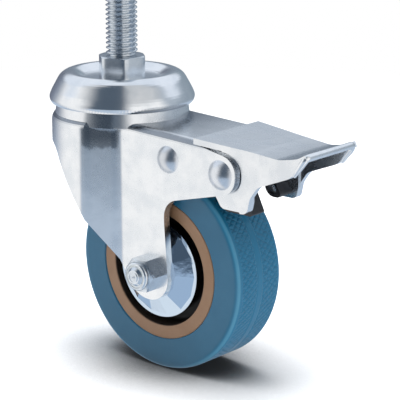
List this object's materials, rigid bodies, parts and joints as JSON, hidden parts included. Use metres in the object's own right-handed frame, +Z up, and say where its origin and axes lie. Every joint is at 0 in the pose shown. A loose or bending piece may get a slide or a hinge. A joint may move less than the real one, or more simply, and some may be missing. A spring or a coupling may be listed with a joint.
{
  "type": "threaded stem castor",
  "caption": "Swivel castor with a threaded stem, a double ball race head, a pressed steel yoke, a moulded wheel and a foot pedal brake.",
  "frame": {"origin": "centre of the hexagon collar's upper face, on the swivel axis", "axes": "+Z up along the threaded stem, +X back along the brake pedal, Y along the wheel axle"},
  "size_m": [0.106, 0.0462, 0.121],
  "materials": {
    "stem_steel": "zinc plated",
    "plated_steel": "bright zinc plated pressed sheet",
    "rivet_steel": "zinc plated",
    "spring_steel": "blued spring steel",
    "ball_steel": "ground and polished",
    "cap_chrome": "bright plated, faceted",
    "nylon": "natural nylon",
    "tyre_rubber": "blue-green moulded elastomer with a diamond tread",
    "core_plastic": "brown moulded plastic",
    "shoe_plastic": "black moulded plastic"
  },
  "bodies": {
    "stem_head": {"stem": "stem_steel", "swivel_bowl": "plated_steel", "upper_balls": "ball_steel", "lower_balls": "ball_steel", "lower_race": "plated_steel", "kingpin_washer": "plated_steel"},
    "yoke_frame": {"yoke": "plated_steel", "front_rivet": "rivet_steel", "spacer_tube": "plated_steel", "brake_spring": "spring_steel", "pedal_rivet": "rivet_steel", "axle_bolt": "stem_steel", "axle_nut": "stem_steel", "nut_insert": "nylon", "axle_sleeve": "plated_steel", "dust_cap_near": "cap_chrome", "dust_cap_far": "cap_chrome", "bearing_inner_rings": "ball_steel"},
    "wheel": {"tyre": "tyre_rubber", "wheel_core": "core_plastic", "bearing_outer_rings": "ball_steel", "bearing_balls": "ball_steel"},
    "pedal": {"brake_pedal": "plated_steel", "brake_shoe": "shoe_plastic", "shoe_pins": "rivet_steel"}
  },
  "joints": [
    {"name": "swivel", "type": "hinge", "parent": "stem_head", "child": "yoke_frame", "pos_m": [0, 0, -0.0175], "axis": [0, 0, 1], "continuous": true},
    {"name": "wheel_spin", "type": "hinge", "parent": "yoke_frame", "child": "wheel", "pos_m": [0.0242, 0, -0.0635], "axis": [0, 1, 0], "continuous": true},
    {"name": "pedal_press", "type": "hinge", "parent": "yoke_frame", "child": "pedal", "pos_m": [0.053, 0, -0.02771], "axis": [0, 1, 0], "range_deg": [0, 40]}
  ]
}
